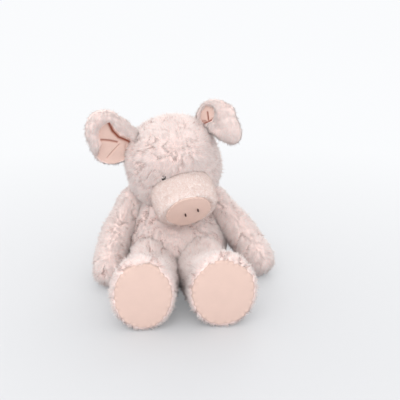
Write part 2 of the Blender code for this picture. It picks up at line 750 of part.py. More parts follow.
def ear_sheet(name, shape, side, parent, finish, tip_rim, side_rim):
    """The ear's front as a grid, short of its tip and of each side by so many cells."""
    rows = EAR_ROWS - tip_rim
    columns = EAR_COLUMNS - 2 * side_rim
    work = bmesh.new()
    bmesh.ops.create_grid(work, x_segments=columns, y_segments=rows, size=1.0)
    for vertex in work.verts:
        column = round((vertex.co.x + 1) / 2 * columns) + side_rim
        row = round((vertex.co.y + 1) / 2 * rows)
        vertex.co = ear_point(shape, row / EAR_ROWS, 2 * column / EAR_COLUMNS - 1)
        vertex.co.x *= -side
    mesh = bpy.data.meshes.new(name)
    if side > 0:
        bmesh.ops.reverse_faces(work, faces=work.faces)
    work.to_mesh(mesh)
    work.free()
    return place(name, mesh, parent, finish)


def thicken(sheet, thickness, offset):
    wall = sheet.modifiers.new("thickness", "SOLIDIFY")
    wall.thickness = thickness
    wall.offset = offset
    return sheet


def ear(name, side, face, head_skin, head_stuffing):
    """A plush back whose edge rolls over the suede lining, hinged along its root seam."""
    shape = EARS[name]
    up = math.radians(shape["root_angle"])
    way = Vector((side * math.cos(up), 0.0, math.sin(up)))
    spot, outward = surface_towards(head_rings(0), BODY_SIDES, way)
    root = frame(f"ear_root_{name}", spot - outward * EAR_SUNK, parent=face)
    base = Matrix(((0, side, 0), (0, 0, -1), (-side, 0, 0)))
    adjust = Euler([math.radians(angle) for angle in shape["turn"]]).to_matrix()
    root.rotation_euler = (adjust @ base).to_euler()
    back_sheet = ear_sheet(f"ear_{name}_cover", shape, side, root, "plush", 0, 0)
    thicken(back_sheet, EAR_PLUSH, -1)
    lining = ear_sheet(f"ear_{name}_lining", shape, side, root, "ear_suede", 1, 3)
    lift = lining.modifiers.new("on the cover", "DISPLACE")
    lift.strength = 2 * SEAM_GAP
    lift.mid_level = 0
    thicken(lining, EAR_LINING, 1)
    along_root = frame(f"ear_groove_axis_{name}", (0, 0, -EAR_PLUSH / 2), (0, 90, 0), root)
    half = EAR_ROOT_HALF + EAR_PLUSH
    groove = rod(f"ear_groove_{name}", EAR_GROOVE[name], -half, half, along_root)
    cut(head_skin, groove)
    cut(head_stuffing, groove)


def tail(skin, stuffing):
    """A curl: straight out of the back, then a coil that opens to its full radius."""
    seat = frame("tail_root", (0, BODY_HALF_DEPTH - BELLY_FORWARD, TAIL_HEIGHT))
    curve = bpy.data.curves.new("tail", "CURVE")
    curve.dimensions = "3D"
    curve.bevel_depth = TAIL_RADIUS
    curve.bevel_resolution = 1
    curve.use_fill_caps = True
    spline = curve.splines.new("POLY")
    spline.points.add(TAIL_POINTS)
    for number, point in enumerate(spline.points):
        share = number / TAIL_POINTS
        angle = math.tau * TAIL_TURNS * share
        open_share = ease(share / TAIL_OPEN_SHARE)
        radius = TAIL_CURL_RADIUS * open_share
        reach = TAIL_STRAIGHT * min(1.0, share / TAIL_OPEN_SHARE) + TAIL_CURL_REACH * share
        height = radius * (1 - math.cos(angle))
        point.co = (radius * math.sin(angle), reach - TAIL_SUNK, height, 1.0)
        point.radius = 1 - TAIL_TAPER_SHARE * share
    made = bpy.data.objects.new("tail", curve)
    made.parent = seat
    curve.materials.append(material("plush"))
    bpy.data.collections["plush_pig"].objects.link(made)
    cup = ball("tail_cup", math.hypot(TAIL_RADIUS, TAIL_SUNK) + SEAM_GAP, seat)
    cut(skin, cup)
    cut(stuffing, cup)


def main():
    clear_scene()
    collection("plush_pig")
    collection("cutters")
    root = frame("seat", (0.0, 0.0, 0.0))
    body_skin, body_stuffing, floor = body(root)
    neck_turn = neck(body_skin, body_stuffing)
    face, head_skin, head_stuffing, clearances = head(neck_turn)
    muzzle_pieces = muzzle(face, clearances)
    eyes(face, head_skin, head_stuffing, muzzle_pieces)
    for name, side in SIDES.items():
        shoulder(name, side, body_skin, body_stuffing, floor)
        hip(name, side, body_skin, body_stuffing, floor)
        ear(name, side, face, head_skin, head_stuffing)
    tail(body_skin, body_stuffing)


main()
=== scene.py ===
"""The looks of a seated plush pig: tufted covers, suede soles, snout, ears, eyes and tail."""

import json
import math

import bpy
import numpy as np
from bpy.props import FloatProperty, FloatVectorProperty, IntProperty, PointerProperty
from mathutils import Euler, Matrix, Vector


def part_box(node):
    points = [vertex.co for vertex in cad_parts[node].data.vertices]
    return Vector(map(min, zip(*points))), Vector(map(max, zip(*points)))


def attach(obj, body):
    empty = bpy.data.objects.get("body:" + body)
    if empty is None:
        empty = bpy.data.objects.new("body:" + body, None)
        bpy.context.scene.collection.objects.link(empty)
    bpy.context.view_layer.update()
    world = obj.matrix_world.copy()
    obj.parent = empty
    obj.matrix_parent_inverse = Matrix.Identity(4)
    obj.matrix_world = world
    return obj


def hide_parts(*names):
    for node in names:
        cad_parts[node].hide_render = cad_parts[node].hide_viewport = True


bl_info = {
    "name": "Plush pig",
    "version": (1, 0, 0),
    "blender": (4, 5, 0),
    "location": "3D View > Sidebar > Plush pig",
    "description": "Dresses the packed pig in its plush, suede and thread",
    "category": "Object",
}

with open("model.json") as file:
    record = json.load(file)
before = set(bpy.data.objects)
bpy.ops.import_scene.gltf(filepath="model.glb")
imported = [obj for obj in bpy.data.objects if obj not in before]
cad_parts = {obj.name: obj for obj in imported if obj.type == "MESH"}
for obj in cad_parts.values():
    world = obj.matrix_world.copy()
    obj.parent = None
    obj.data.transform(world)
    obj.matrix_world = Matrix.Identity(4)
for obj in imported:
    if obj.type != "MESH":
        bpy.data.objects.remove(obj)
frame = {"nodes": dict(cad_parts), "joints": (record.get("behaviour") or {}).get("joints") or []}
SIDES = {"left": 1, "right": -1}
POINTS = {joint["name"]: np.array(joint["pos_m"]) for joint in frame["joints"]}


def tenths(*rows):
    """Rows of whole tenths of a millimetre, in metres."""
    return np.array(rows) / 10000


# Rings of each soft form: (x, y, z, half width, half depth) in its own frame
BODY_RINGS = tenths(
    (0, 0, 1460, 0, 0), (0, 0, 1357, 268, 268), (0, 0, 1129, 394, 394), (0, -42, 848, 500, 545),
    (0, -134, 615, 630, 660), (0, -166, 403, 730, 756), (0, -160, 191, 715, 734), (0, -144, 37, 580, 600),
    (0, -128, -5, 354, 385), (0, -128, -5, 0, 0),
)
HEAD_RINGS = tenths(
    (0, 0, 550, 0, 0), (0, 0, 495, 391, 353), (0, 0, 286, 580, 524), (0, 0, 0, 630, 570),
    (0, 0, -275, 617, 559), (0, 0, -484, 454, 410), (0, 0, -550, 0, 0),
)
MUZZLE_RINGS = tenths(
    (0, 0, 120, 0, 0), (0, 8, 115, 369, 250), (0, 10, 6, 406, 276), (0, 6, -279, 410, 283),
    (0, 0, -421, 373, 264), (0, 0, -450, 295, 212), (0, 0, -450, 0, 0),
)
ARM_RINGS = tenths(
    (0, 0, 230, 0, 0), (0, 0, 163, 163, 163), (0, 0, 0, 230, 230), (24, 0, -205, 218, 218),
    (60, 0, -486, 225, 225), (48, 0, -794, 221, 221), (0, 0, -1055, 225, 225), (0, 0, -1227, 145, 145),
    (0, 0, -1280, 0, 0),
)
LEG_RINGS = tenths(
    (0, 0, 305, 0, 0), (0, 0, 216, 216, 216), (0, 15, 0, 310, 295), (0, 48, -279, 335, 280),
    (14, 8, -610, 345, 322), (61, -30, -838, 370, 365), (116, -113, -1016, 398, 452),
    (135, -140, -1143, 408, 478), (135, -140, -1232, 399, 468), (135, -140, -1270, 369, 432),
    (135, -140, -1270, 243, 285), (135, -140, -1270, 0, 0),
)
EYE_RINGS = tenths(
    (0, 0, 32, 0, 0), (0, 0, 28, 24, 24), (0, 0, 12, 42, 42), (0, 0, -2, 45, 45), (0, 0, -12, 30, 30),
    (0, 0, -14, 15, 15), (0, 0, -90, 15, 15), (0, 0, -90, 0, 0),
)

# Where each sole's middle lies in the leg's frame, and the soles' half height
SOLE_AT = (0.0135, -0.014, -0.127)
SOLE_HALF_HEIGHT = 0.0442
# How far each foot stands out, its width against the ring's, and its sole's half width
FOOT = {"left": (0.003, 1.0, 0.0382), "right": (0.0005, 0.94, 0.035)}
# Where the flat front of the muzzle lies, the disc's half sizes, and the stitches' middles on it
MUZZLE_FRONT = (0, 0, -0.045)
DISC = (0.0305, 0.0245)
NOSTRIL_AT = {"left": (0.0116, -0.0004), "right": (-0.0052, 0.0016)}
# Each eye's place on the head and the way that it looks, how deep it sits, and the bare round about it
EYE_AT = {"left": (0.020567, -0.062984, 0.151722), "right": (-0.013372, -0.065358, 0.14324)}
EYE_WAY = {"left": (0.224522, -0.97376, -0.037165), "right": (-0.051189, -0.99304, -0.106076)}
EYE_SINK = {"left": 0.0032, "right": 0.0013}
EYE_BARE = {"left": 0.0012, "right": 0.0028}

# The number that starts each cover's noise and random draws
SEEDS = {
    "body": 1, "head": 2, "muzzle": 3, "arm_left": 4, "arm_right": 5, "leg_left": 6, "leg_right": 7,
    "ear_left": 8, "ear_right": 9, "tail": 10,
}
# How much finer a cover's clumps are along each axis than the clump size
STRETCH = {
    "body": (1.3, 1.3, 0.6), "arm_left": (1.15, 1.15, 0.75), "arm_right": (1.15, 1.15, 0.75),
    "leg_left": (1.2, 0.7, 1.2), "leg_right": (1.2, 0.7, 1.2),
}

FLOOR_GAP = 0.0003  # cloth and tufts stay this far above the floor
TUFT_FOOT = 0.0004  # a tuft starts this far under the cloth
TUFT_CORNERS = (0.5236, 2.618, 4.7124)  # 30, 150 and 270 degrees round it
TUFT_MAP = "OFBake"  # the map that holds each tuft's tone and height
BACKDROP = (0.965, 0.975, 0.99, 1.0)


def turned_frame(at, degrees=(0, 0, 0), parent=None):
    """A 4 by 4 matrix: a place, and a turn about X, Y and Z, inside another frame."""
    made = np.array(Matrix.LocRotScale(Vector(at), Euler([math.radians(a) for a in degrees]), None))
    return made if parent is None else parent @ made


BODY = np.eye(4)
FACE = turned_frame((0, -0.011, 0.147), (10, -14, 4))
MUZZLE = turned_frame((0, -0.048, -0.014), (13 - 90, 0, 0), FACE)
ARM = {
    "left": turned_frame(POINTS["arm_spread_left"], (35 - 90, 0, 42)),
    "right": turned_frame(POINTS["arm_spread_right"], (34.5 - 90, 0, -24)),
}
LEG = {side: turned_frame(POINTS[f"leg_swing_{side}"], (-90, 0, 0)) for side in SIDES}


# Values that a user would change

def length_value(name, description, default, low, high, precision=4):
    return FloatProperty(name=name, description=description, default=default, min=low, max=high,
                         unit="LENGTH", precision=precision)


def colour_value(name, description, default):
    return FloatVectorProperty(name=name, description=description, default=default, min=0, max=1,
                               subtype="COLOR")


class PigPile(bpy.types.PropertyGroup):
    length: length_value("Pile length", "Length of the tufts on the covers", 0.0054, 0.001, 0.012)
    width: length_value("Tuft width", "Width of a tuft where it leaves the cloth", 0.0005, 0.0001, 0.002, 5)
    short_length: length_value("Muzzle pile", "Length of the tufts on the muzzle", 0.0022, 0.0005, 0.006)
    inset: length_value("Cloth inset", "How far the cloth lies inside the outline", 0.002, 0.0, 0.006)
    clump: length_value("Clump size", "Width of a clump of tufts", 0.0098, 0.001, 0.02)
    relief: length_value("Clump relief", "How far the cloth rises under a clump", 0.0011, 0.0, 0.004)
    density: FloatProperty(name="Tuft density", description="Tufts on a square millimetre of the covers",
                           default=0.78, min=0.01, max=3.0)
    tufts: IntProperty(name="Tufts", description="The most tufts on one piece", default=42000, min=100,
                       max=50000)


class PigColours(bpy.types.PropertyGroup):
    tip: colour_value("Pile tips", "Colour of the tufts' ends", (1.0, 0.9, 0.87))
    # painted shade: the roots are pinker and darker than the tips, for the shade deep in the pile
    root: colour_value("Pile roots", "Colour deep in the pile", (0.95, 0.65, 0.595))
    short: colour_value("Muzzle pile", "Colour of the short pile", (0.8, 0.635, 0.58))
    suede: colour_value("Suede", "Colour of the soles and the snout", (0.745, 0.555, 0.487))
    ear: colour_value("Ear suede", "Colour inside the ears", (0.81, 0.6, 0.53))
    # painted shade: a dark red for the shade deep in the ears' creases
    crease_shade: colour_value("Ear creases", "Colour deep in the folds of the ears", (0.3, 0.075, 0.04))
    thread: colour_value("Thread", "Colour of the nostril stitches", (0.035, 0.015, 0.012))
    eye: colour_value("Eyes", "Colour of the eyes", (0.008, 0.006, 0.006))


class PigStage(bpy.types.PropertyGroup):
    key: FloatProperty(name="Key light", description="Power of the large lamp in front", default=5.9, min=0.0,
                       max=100.0, unit="POWER")
    fill: FloatProperty(name="Sky", description="Strength of the even light from all round", default=1.18,
                        min=0.0, max=3.0)
    floor: colour_value("Floor", "Colour of the floor", (0.57, 0.588, 0.608))


# Shapes

def ease(share):
    """Rises from 0 to 1 and is level at both ends: s squared times (3 - 2 s)."""
    share = np.clip(share, 0, 1)
    return share * share * (3 - 2 * share)


def unit(vectors):
    """The vectors at length 1."""
    return vectors / np.linalg.norm(vectors, axis=-1, keepdims=True)


def placed(local, place):
    """Points of a frame, in the model's own space."""
    return local @ place[:3, :3].T + place[:3, 3]


def seen_from(points, place):
    """Points of the model, in a frame's own space."""
    return (points - place[:3, 3]) @ place[:3, :3]


def angles_round(count):
    """Angles spread evenly round a circle."""
    return np.arange(count) * (2 * np.pi / count)


def pinch(grid):
    """Draws each end row of a grid to one point."""
    grid[0], grid[-1] = grid[0].mean(0), grid[-1].mean(0)


def lattice_noise(points, cell, seed):
    """Smooth noise from -1 to 1: a 16-bit hash of each corner of a lattice of this cell, eased between."""
    scaled = points / cell
    low = np.floor(scaled)
    part = ease(scaled - low)
    low = low.astype(np.int64)
    total = np.zeros(len(points))
    for corner in range(8):
        step = np.array([corner & 1, corner >> 1 & 1, corner >> 2 & 1])
        at = low + step
        mixed = (at[:, 0] * 73856093) ^ (at[:, 1] * 19349663) ^ (at[:, 2] * 83492791) ^ (seed * 2654435761)
        mixed = (mixed ^ (mixed >> 13)) * 1274126177 & 0xFFFFFFFF
        mixed = (mixed ^ (mixed >> 16)) & 0xFFFF
        share = np.prod(np.where(step, part, 1 - part), axis=1)
        total += share * (mixed / 32767.5 - 1)
    return total


def slope_of(field, points, reach=0.0004):
    """How a field changes along X, Y and Z, from its values a short reach to each side."""
    steps = np.eye(3) * reach
    return np.stack([field(points + s) - field(points - s) for s in steps], axis=1) / (2 * reach)


def clump_field(size, seed, stretch):
    """Near 1 over a clump and down to -1 in the thin partings, which follow the lines where two sizes
    of noise add up to nothing. A third noise breaks them into strokes, and a much broader one leaves
    some of the cloth smooth."""
    line_width = 0.085

    def field(points):
        points = points * stretch
        bent = points + size * 0.5 * np.stack(
            [lattice_noise(points, size * 1.2, seed + k) for k in (11, 12, 13)], axis=1)
        line = 0.62 * lattice_noise(bent, size * 1.5, seed) + 0.38 * lattice_noise(bent, size * 0.7, seed + 7)
        calm = lattice_noise(points, size * 4.5, seed + 5)
        broken = ease(0.72 + 1.1 * lattice_noise(points, size * 2, seed + 9))
        depth = (0.2 + 0.8 * ease(0.6 + 0.8 * calm)) * broken
        return 1 - 2 * depth * np.exp(-((line / line_width) ** 2))
    return field


def clumps_on(cover, size):
    """The clump field of a cover, which its cloth and its pile share."""
    return clump_field(size, SEEDS[cover], STRETCH.get(cover, (1, 1, 1)))


def through(knots, values, at):
    """A smooth curve through values at the knots, whose slope at each is the mean of its two sides."""
    gap = np.diff(knots)
    rise = np.diff(values, axis=0) / gap[:, None]
    slope = np.empty_like(values)
    slope[1:-1] = (rise[:-1] * gap[1:, None] + rise[1:] * gap[:-1, None]) / (gap[1:] + gap[:-1])[:, None]
    slope[0], slope[-1] = rise[0], rise[-1]
    i = np.clip(np.searchsorted(knots, at) - 1, 0, len(gap) - 1)
    h = gap[i][:, None]
    s = ((at - knots[i])[:, None]) / h
    return (
        values[i] * (1 + 2 * s) * (1 - s) ** 2 + slope[i] * h * s * (1 - s) ** 2
        + values[i + 1] * s * s * (3 - 2 * s) + slope[i + 1] * h * s * s * (s - 1)
    )


def shrunk(rings, inset, way):
    """The same rings this far inside the form, mirrored for a piece on the other side."""
    made = rings.copy()
    made[:, 0] *= way
    made[:, 3:] = np.where(made[:, 3:] > 0, made[:, 3:] - inset, 0.0)
    top, bottom = made[0, 2], made[-1, 2]
    made[:, 2] = np.clip(made[:, 2], bottom + inset, top - inset)
    return made


def leg_rings(side):
    """The leg's rings, with the foot moved out and its width changed little by little towards the sole."""
    made = LEG_RINGS.copy()
    share = ease((-made[:, 2] - 0.03) / 0.07)
    out, width, _ = FOOT[side]
    made[:, 0] += out * share
    made[:, 3] *= 1 + (width - 1) * share
    return made


def lofted(rings, place, rows=120, columns=180):
    """A closed soft form: along v a smooth curve through the rings' middles and half widths, which
    runs on past each pole with the half widths turned negative, so that it is round there, and
    round u the ellipse (half width cos u, half depth sin u). Returns rows by columns of points."""
    before = rings[1:3][::-1] * (1, 1, 1, -1, -1)
    after = rings[-3:-1][::-1] * (1, 1, 1, -1, -1)
    run = np.concatenate([before, rings, after])
    knots = np.concatenate([[0.0], np.cumsum(np.linalg.norm(np.diff(run[:, 2:], axis=0), axis=1) + 1e-6)])
    curve = through(knots, run, np.linspace(knots[2], knots[-3], rows))
    u = angles_round(columns)
    local = np.empty((rows, columns, 3))
    local[..., 0] = curve[:, None, 0] + curve[:, None, 3] * np.cos(u)
    local[..., 1] = curve[:, None, 1] + curve[:, None, 4] * np.sin(u)
    local[..., 2] = curve[:, None, 2]
    pinch(local)
    return placed(local, place)


def inside(points, rings, place, margin):
    """Whether each point lies inside a lofted form made smaller by the margin: the ellipse of its height
    comes from the rings on both sides of it, straight between them."""
    ring = rings[np.argsort(rings[:, 2], kind="stable")]
    local = seen_from(points, place)
    z = local[:, 2]
    x, y, half_width, half_depth = (np.interp(z, ring[:, 2], ring[:, k]) for k in (0, 1, 3, 4))
    half_width, half_depth = np.maximum(half_width - margin, 1e-5), np.maximum(half_depth - margin, 1e-5)
    near = ((local[:, 0] - x) / half_width) ** 2 + ((local[:, 1] - y) / half_depth) ** 2
    return (near < 1) & (z > ring[0, 2] + margin) & (z < ring[-1, 2] - margin)


def out_of_body(points):
    """Whether each point lies near enough to the body's surface, or outside it, for a tuft to show."""
    return ~inside(points, BODY_RINGS, BODY, 0.012)


def grid_normals(points):
    """The cross product of a grid's two directions at each point, not yet turned outwards."""
    along = np.gradient(points, axis=0)
    around = np.roll(points, -1, axis=1) - np.roll(points, 1, axis=1)
    return np.cross(around, along)


def outward(points):
    """The unit normals of a round closed grid, turned away from its middle."""
    normal = grid_normals(points)
    normal[0], normal[-1] = normal[1].mean(0), normal[-2].mean(0)
    normal /= np.linalg.norm(normal, axis=2, keepdims=True) + 1e-12
    out = points - points.reshape(-1, 3).mean(0)
    return normal if (normal * out).sum() > 0 else -normal


def outward_loop(points):
    """The unit normals of a thin or bent closed grid, turned out at one side of its middle row."""
    normal = grid_normals(points)
    normal /= np.linalg.norm(normal, axis=2, keepdims=True) + 1e-12
    rows, columns = points.shape[:2]
    middle, one, other = rows // 2, columns // 4, columns * 3 // 4
    out = points[middle, one] - points[middle, other]
    return normal if (normal[middle, one] * out).sum() > 0 else -normal


def linked(name, mesh):
    """A new object of a mesh, at the origin."""
    made = bpy.data.objects.new(name, mesh)
    bpy.context.scene.collection.objects.link(made)
    return made


def mesh_object(name, points, faces):
    """An object of points and the faces between them, shaded smooth."""
    mesh = bpy.data.meshes.new(name)
    mesh.from_pydata(points.tolist(), [], faces)
    mesh.validate()
    mesh.shade_smooth()
    return linked(name, mesh)


def closed_grid(name, points):
    """A mesh of a grid that is closed round u and drawn to a point at both ends of v."""
    rows, columns = points.shape[:2]
    flat = np.concatenate([points[0, :1], points[1:-1].reshape(-1, 3), points[-1, :1]])
    i = np.arange(columns)
    j = (i + 1) % columns
    start = 1 + np.arange(rows - 3)[:, None] * columns
    quads = np.stack([start + i, start + j, start + j + columns, start + i + columns], axis=2).reshape(-1, 4)
    first, last = np.zeros_like(i), np.full_like(i, len(flat) - 1)
    tail = 1 + (rows - 3) * columns
    caps = np.concatenate([np.stack([first, 1 + j, 1 + i], 1), np.stack([tail + i, tail + j, last], 1)])
    faces = quads.tolist() + caps.tolist()
    corner = flat[quads[:, :3]]
    normal = np.cross(corner[:, 1] - corner[:, 0], corner[:, 2] - corner[:, 0])
    if (normal * (corner[:, 0] - flat.mean(0))).sum() < 0:
        faces = [face[::-1] for face in faces]
    return mesh_object(name, flat, faces)


def dress(made, finish, body, slot, *nodes, fill=None):
    """Gives a piece its material and its body, and hides the nodes that it stands for. Slot and fill are
    not used."""
    made.data.materials.append(finish)
    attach(made, body)
    if nodes:
        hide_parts(*nodes)


def mark_fold_shade(made, deep):
    """Keeps how deep each point lies in a fold, row by row from the first pole, for the material to paint as
    shade.
    """
    fold = np.zeros(len(made.data.vertices), np.float32)
    fold[0] = deep[0, 0]
    fold[1:1 + deep[1:].size] = deep[1:].ravel()
    made.data.attributes.new("fold", "FLOAT", "POINT").data.foreach_set("value", fold)


def plush_cloth(cover, rings, place, body, *more, way=1.0, finish=None, slot="plush", inset=None,
                relief=None):
    """The cloth of one cover: its lofted form, raised a little under each clump of tufts. It stands for
    the cover's skin and stuffing and for more nodes. Returns its points and normals."""
    pile = bpy.context.scene.pig_pile
    inset = pile.inset if inset is None else inset
    relief = pile.relief if relief is None else relief
    points = lofted(shrunk(rings, inset, way), place)
    lift = relief * clumps_on(cover, pile.clump)(points.reshape(-1, 3)).reshape(points.shape[:2])
    points = points + outward(points) * lift[..., None]
    pinch(points)
    points[..., 2] = np.maximum(points[..., 2], FLOOR_GAP)
    dress(closed_grid(f"{cover}_plush", points), finish or cloth_finish("plush_cloth"), body, slot,
          f"{cover}_skin", f"{cover}_stuffing", *more, fill=0.7)
    return points, outward(points)


def sown(cloth, density, rng, cells=None):
    """Places and normals spread evenly over a cloth: cells drawn by their area, and in each a random
    place between its four corners."""
    points, normals = cloth
    columns = points.shape[1]
    right = np.roll(points, -1, axis=1)
    area = np.linalg.norm(np.cross(points[1:] - points[:-1], (right - points)[:-1]), axis=2).reshape(-1)
    if cells is not None:
        area = area * cells.reshape(-1)
    square_millimetres = 1e6
    count = min(int(density * square_millimetres * area.sum()), bpy.context.scene.pig_pile.tufts)
    cell = rng.choice(len(area), size=count, p=area / area.sum())
    i, j = cell // columns, cell % columns
    k = (j + 1) % columns
    a, b = rng.random((2, count, 1))

    def between(grid):
        return (
            grid[i, j] * (1 - a) * (1 - b) + grid[i + 1, j] * a * (1 - b)
            + grid[i, k] * (1 - a) * b + grid[i + 1, k] * a * b
        )
    return between(points), between(normals)


def along_cloth(vectors, normal, least):
    """The part of each vector that lies along the cloth, at length 1 where it is longer than the least."""
    made = vectors - normal * (vectors * normal).sum(1, keepdims=True)
    return made / np.maximum(np.linalg.norm(made, axis=1, keepdims=True), least)


def tuft_mesh(name, root, tip, normal, direction, across, half, tone):
    """Pointed tufts of three corners round the root and a tip. U is a tuft's tone, a little lower and
    higher at two of its corners, and V runs from its root to its tip. The shading normals are near the
    cloth's, so that a tuft is lit as the cover is."""
    third = np.cross(direction, across)
    foot = root - normal * TUFT_FOOT
    corners = [foot + half * (math.cos(t) * across + math.sin(t) * third) for t in TUFT_CORNERS]
    points = np.stack([*corners, tip], axis=1).reshape(-1, 3)
    points[:, 2] = np.maximum(points[:, 2], FLOOR_GAP)
    base = np.arange(len(root))[:, None, None] * 4
    faces = (base + np.array([[0, 1, 3], [1, 2, 3], [2, 0, 3], [0, 2, 1]])).reshape(-1, 3)
    mesh = bpy.data.meshes.new(name)
    mesh.vertices.add(len(points))
    mesh.vertices.foreach_set("co", points.astype(np.float32).ravel())
    mesh.loops.add(faces.size)
    mesh.loops.foreach_set("vertex_index", faces.astype(np.int32).ravel())
    mesh.polygons.add(len(faces))
    mesh.polygons.foreach_set("loop_start", np.arange(0, faces.size, 3, dtype=np.int32))
    mesh.update(calc_edges=True)
    spread = np.array([-0.02, 0.0, 0.02, 0.0])
    up = np.array([0.02, 0.02, 0.02, 0.98])
    corner = faces % 4
    uv = np.stack([tone[faces // 4] + spread[corner], up[corner]], axis=2)
    mesh.uv_layers.new(name=TUFT_MAP).data.foreach_set("uv", uv.astype(np.float32).ravel())
    mesh.shade_smooth()
    lit = np.repeat((0.9 * normal + 0.1 * direction)[:, None], 4, axis=1).reshape(-1, 3)
    mesh.normals_split_custom_set_from_vertices(unit(lit))
    return mesh


def tufted(cover, cloth, body, finish=None, slot="plush", length=None, density=1.0, width=1.0,
           lie=(0, 0, -1), lie_share=0.7, clump=None, keep=None, cells=None, parting_shade=0.58):
    """A pile of pointed three-sided tufts, spread evenly over the cloth's area, each with a flat side up.
    Density and width are shares of the panel's values, and length is in metres.

    Each tuft leaves along the cloth's normal, leans with the lie of the pile, and turns towards
    the middle of its clump, which is up the slope of the clump field. Some are long and upright. The last
    argument is painted shade: how much darker a tuft is in a parting, the gap between clumps where shade
    falls."""
    pile = bpy.context.scene.pig_pile
    seed = SEEDS[cover]
    rng = np.random.default_rng(seed)
    root, normal = sown(cloth, pile.density * density, rng, cells)
    if keep is not None:
        kept = keep(root)
        root, normal = root[kept], normal[kept]
    total = len(root)
    normal = unit(normal)
    field = clumps_on(cover, clump or pile.clump)
    height = field(root)
    rise = along_cloth(slope_of(field, root), normal, 300.0)
    combed = along_cloth(np.array(lie, float), normal, 0.3)
    long = np.where(rng.random(total) < 0.12, 0.7 * rng.random(total), 0.0)
    upright = 0.24 + 0.3 * rng.random((total, 1)) ** 2 + 0.7 * long[:, None]
    wander = 0.2 * rng.normal(size=(total, 3))
    direction = unit(upright * normal + lie_share * combed + 0.4 * rise + wander)
    reach = (length or pile.length) * (0.54 + 0.26 * rng.random(total) + 0.14 * height + long)
    across = unit(np.cross(normal + 0.35 * rng.normal(size=(total, 3)), direction))
    half = pile.width * width * (0.8 + 0.5 * rng.random(total))[:, None]
    broad = 0.1 * lattice_noise(root, 0.022, seed + 3)
    # painted shade: tufts in the partings between clumps take a darker tone; the broad noise and the random
    # part are tone that differs at random
    tone = np.clip(0.88 - parting_shade * (1 - height) + broad + 0.11 * rng.normal(size=total), 0.03, 0.97)
    tip = root + direction * reach[:, None]
    name = f"{cover}_pile"
    made = linked(name, tuft_mesh(name, root, tip, normal, direction, across, half, tone))
    dress(made, finish or plush_pile(), body, slot)


# Materials

class Wire:
    """A shader socket in an expression: each operator adds the Math node that works it out."""

    def __init__(self, nodes, socket):
        self.nodes = nodes
        self.socket = socket

    def maths(self, operation, *values):
        return self.nodes.add("Math", dict(enumerate(values)), operation=operation)

    def __add__(self, other):
        return self.maths("ADD", self, other)

    __radd__ = __add__

    def __mul__(self, other):
        return self.maths("MULTIPLY", self, other)

    __rmul__ = __mul__

    def __pow__(self, other):
        return self.maths("POWER", self, other)

    def __rpow__(self, other):
        return self.maths("POWER", other, self)

    def clamped(self):
        return self.nodes.add("Clamp", {0: self})


class Nodes:
    """The nodes of a material or of the world."""

    def __init__(self, tree):
        self.tree = tree

    def add(self, kind, values=None, output=0, **settings):
        """A node of this kind: its settings first, then the values or links of its sockets."""
        node = self.tree.nodes.new("ShaderNode" + kind)
        for key, value in settings.items():
            setattr(node, key, value)
        for key, value in (values or {}).items():
            if isinstance(value, Wire):
                self.tree.links.new(value.socket, node.inputs[key])
            else:
                node.inputs[key].default_value = value
        return Wire(self, node.outputs[output])

    def surface(self, shader, end):
        self.tree.links.new(shader.socket, self.tree.nodes[end].inputs["Surface"])


class Finish(Nodes):
    """A material with one Principled shader, whose constants are set on its own sockets."""

    def __init__(self, name, **constants):
        self.material = bpy.data.materials.new(name)
        self.material.use_nodes = True
        super().__init__(self.material.node_tree)
        self.shader = self.tree.nodes["Principled BSDF"]
        self.shader.inputs["Metallic"].default_value = 0.0
        for socket, value in constants.items():
            self.shader.inputs[socket.replace("_", " ").title().replace("Ior", "IOR")].default_value = value

    def place(self):
        return self.add("TexCoord", output="Object")

    def mix(self, share, first, second):
        """A colour between two, each a wire or plain values."""
        first, second = ((*c, 1.0) if isinstance(c, tuple) else c for c in (first, second))
        return self.add("Mix", {0: share, 6: first, 7: second}, 2, data_type="RGBA")

    def noise(self, scale, detail=2.0, roughness=0.5):
        values = {"Vector": self.place(), "Scale": scale, "Detail": detail, "Roughness": roughness}
        return self.add("TexNoise", values)

    def bump(self, height, strength, distance):
        return self.add("Bump", {"Height": height, "Strength": strength, "Distance": distance})

    def feed(self, **links):
        """Links wires to the shader's sockets, and gives back the finished material."""
        for socket, wire in links.items():
            self.tree.links.new(wire.socket, self.shader.inputs[socket.replace("_", " ").title()])
        return self.material


def shaded(values, factor):
    return tuple(min(1.0, v * factor) for v in values)


def colour(name, factor=1.0):
    """One of the panel's colours, lighter or darker by the factor."""
    return shaded(getattr(bpy.context.scene.pig_colours, name), factor)


def once(make):
    """A material is made when its name is first asked for, and found again after that."""
    def found(name, *how):
        return bpy.data.materials.get(name) or make(name, *how)
    return found


@once
def tuft_finish(name, deep, low, high, rise, gloss):
    """Tufts that leave the colour deep in the pile, which is painted shade, over the first 1 / rise of their
    length, for one that runs from low to high with each tuft's own tone; toward the low end a tuft is
    painted darker as shade in a parting. Its tone and height are the U and V of its map."""
    finish = Finish(name, roughness=0.95, specular_ior_level=gloss, sheen_weight=0.25, sheen_roughness=0.6)
    uv = finish.add("UVMap", uv_map=TUFT_MAP)
    tone, along = (finish.add("SeparateXYZ", {0: uv}, axis) for axis in "XY")
    tip = finish.mix(tone, low, high)
    return finish.feed(base_color=finish.mix((along * rise).clamped(), deep, tip))


def plush_pile():
    """Pale tips, and pinker, darker roots as painted shade deep in the pile; tufts in the partings run to a
    much darker root colour, which is painted shade too.
    """
    return tuft_finish("plush_pile", colour("root"), colour("root", 0.55), colour("tip"), 3.0, 0.15)


def short_pile():
    """The muzzle's tufts, whose roots are only a little darker: painted shade deep in the short pile."""
    low, high = colour("short", 0.93), colour("short", 1.06)
    return tuft_finish("short_pile", colour("short", 0.84), low, high, 1.6, 0.12)


